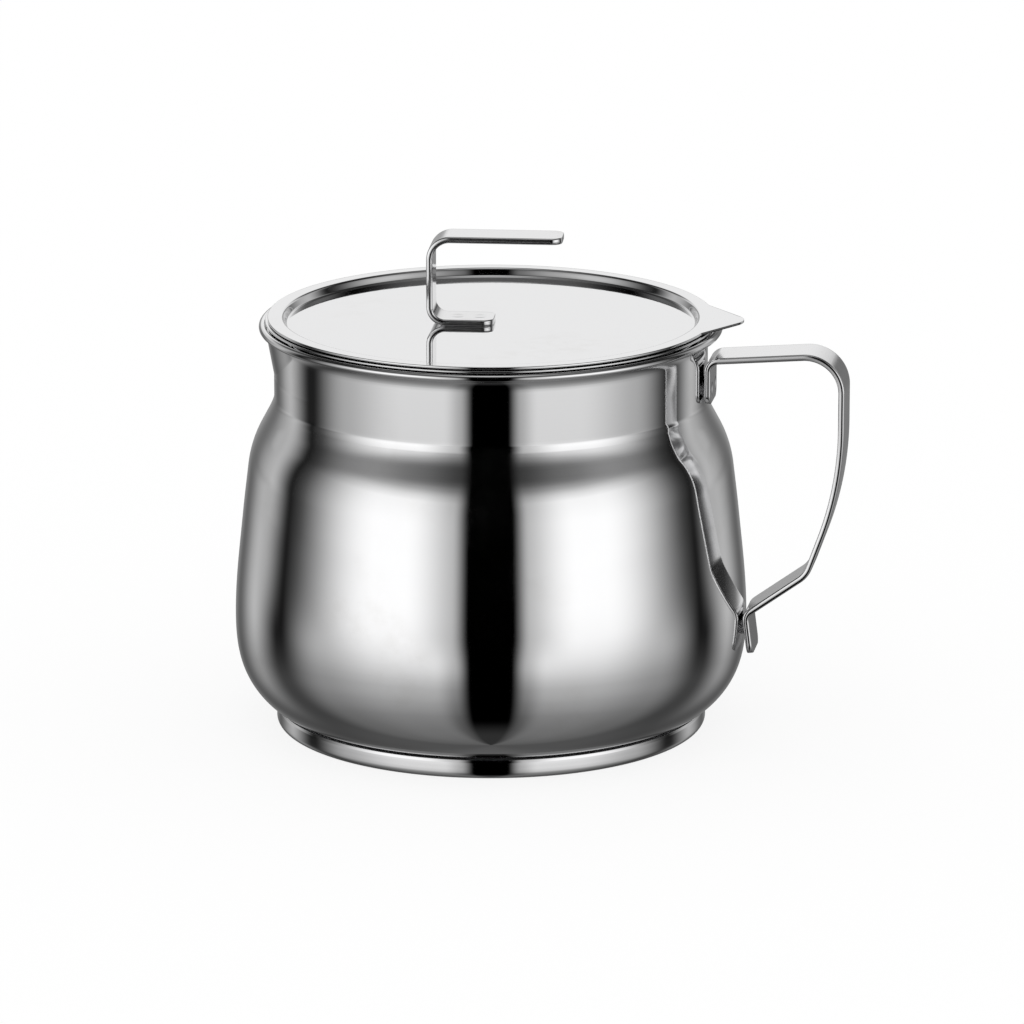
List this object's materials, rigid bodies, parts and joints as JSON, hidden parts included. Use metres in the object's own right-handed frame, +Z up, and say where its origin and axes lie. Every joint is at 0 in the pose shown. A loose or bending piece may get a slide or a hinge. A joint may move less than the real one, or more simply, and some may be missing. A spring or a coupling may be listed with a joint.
{
  "type": "grease container",
  "caption": "Round steel kitchen pot with a strap handle, a lift-out mesh strainer and a lift-off lid with a bent strip grip, for keeping cooking fat.",
  "frame": {"origin": "centre of the base's underside, on the pot's axis", "axes": "+Z up along the pot's axis, +X towards the handle, -X towards the pour lip"},
  "size_m": [0.1957, 0.1636, 0.1595],
  "materials": {
    "polished_steel": "mirror-polished stainless sheet",
    "satin_steel": "satin stainless sheet",
    "weld_steel": "bare spot weld in stainless steel",
    "wire_cloth": "woven stainless wire cloth",
    "heat_core": "plain rolled aluminium, closed in"
  },
  "bodies": {
    "pot": {"base_core": "heat_core", "base_capsule": "polished_steel", "pot_shell": "polished_steel", "handle_strap": "polished_steel", "handle_upper_welds": "weld_steel", "handle_lower_welds": "weld_steel"},
    "strainer": {"strainer_collar": "polished_steel", "strainer_mesh": "wire_cloth", "strainer_band": "satin_steel", "strainer_band_welds": "weld_steel"},
    "lid": {"lid_panel": "polished_steel", "lid_grip": "polished_steel", "lid_grip_welds": "weld_steel"}
  },
  "joints": [
    {"name": "strainer_lift", "type": "slide", "parent": "pot", "child": "strainer", "axis": [0, 0, 1], "range_m": [0, 0.1]},
    {"name": "lid_lift", "type": "slide", "parent": "strainer", "child": "lid", "axis": [0, 0, 1], "range_m": [0, 0.1]}
  ]
}
